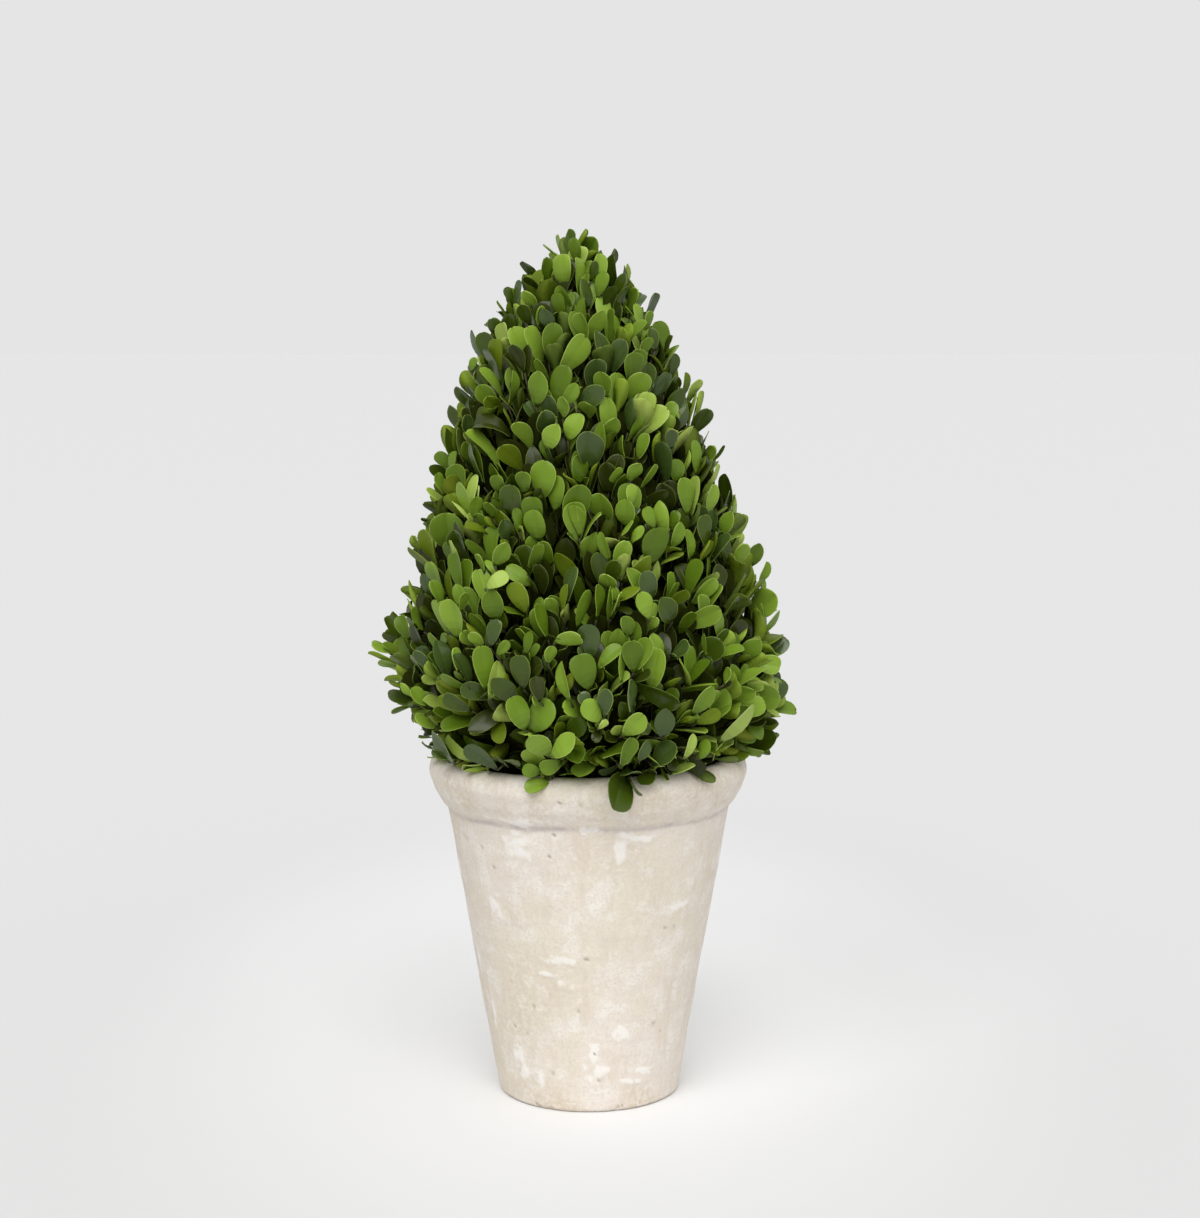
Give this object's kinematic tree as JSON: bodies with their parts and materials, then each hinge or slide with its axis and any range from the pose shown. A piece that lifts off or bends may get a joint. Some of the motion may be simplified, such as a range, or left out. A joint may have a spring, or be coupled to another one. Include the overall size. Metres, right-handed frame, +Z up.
{
  "type": "boxwood cone topiary in a terracotta pot",
  "caption": "Clipped boxwood cone, full and rounded towards its foot, in a tapering aged terracotta pot with a rolled rim.",
  "frame": {"origin": "centre of the pot's flat underside", "axes": "+Z up along the plant, +X to the right and +Y away from the viewer in the usual front view"},
  "size_m": [0.1985, 0.1928, 0.4066],
  "materials": {
    "aged_terracotta": "matt, cream-washed terracotta with chalky white patches, pits and tan mottling",
    "potting_fill": "dark, crumbly filling with dry moss",
    "bark": "fine-grained grey-brown bark",
    "boxwood_leaves": "small leathery leaves, dark and satin above, paler and yellower below"
  },
  "bodies": {
    "root": {"pot": "aged_terracotta", "potting_fill": "potting_fill", "trunk": "bark", "foliage_skirt": "boxwood_leaves", "foliage_cone": "boxwood_leaves"}
  },
  "joints": []
}
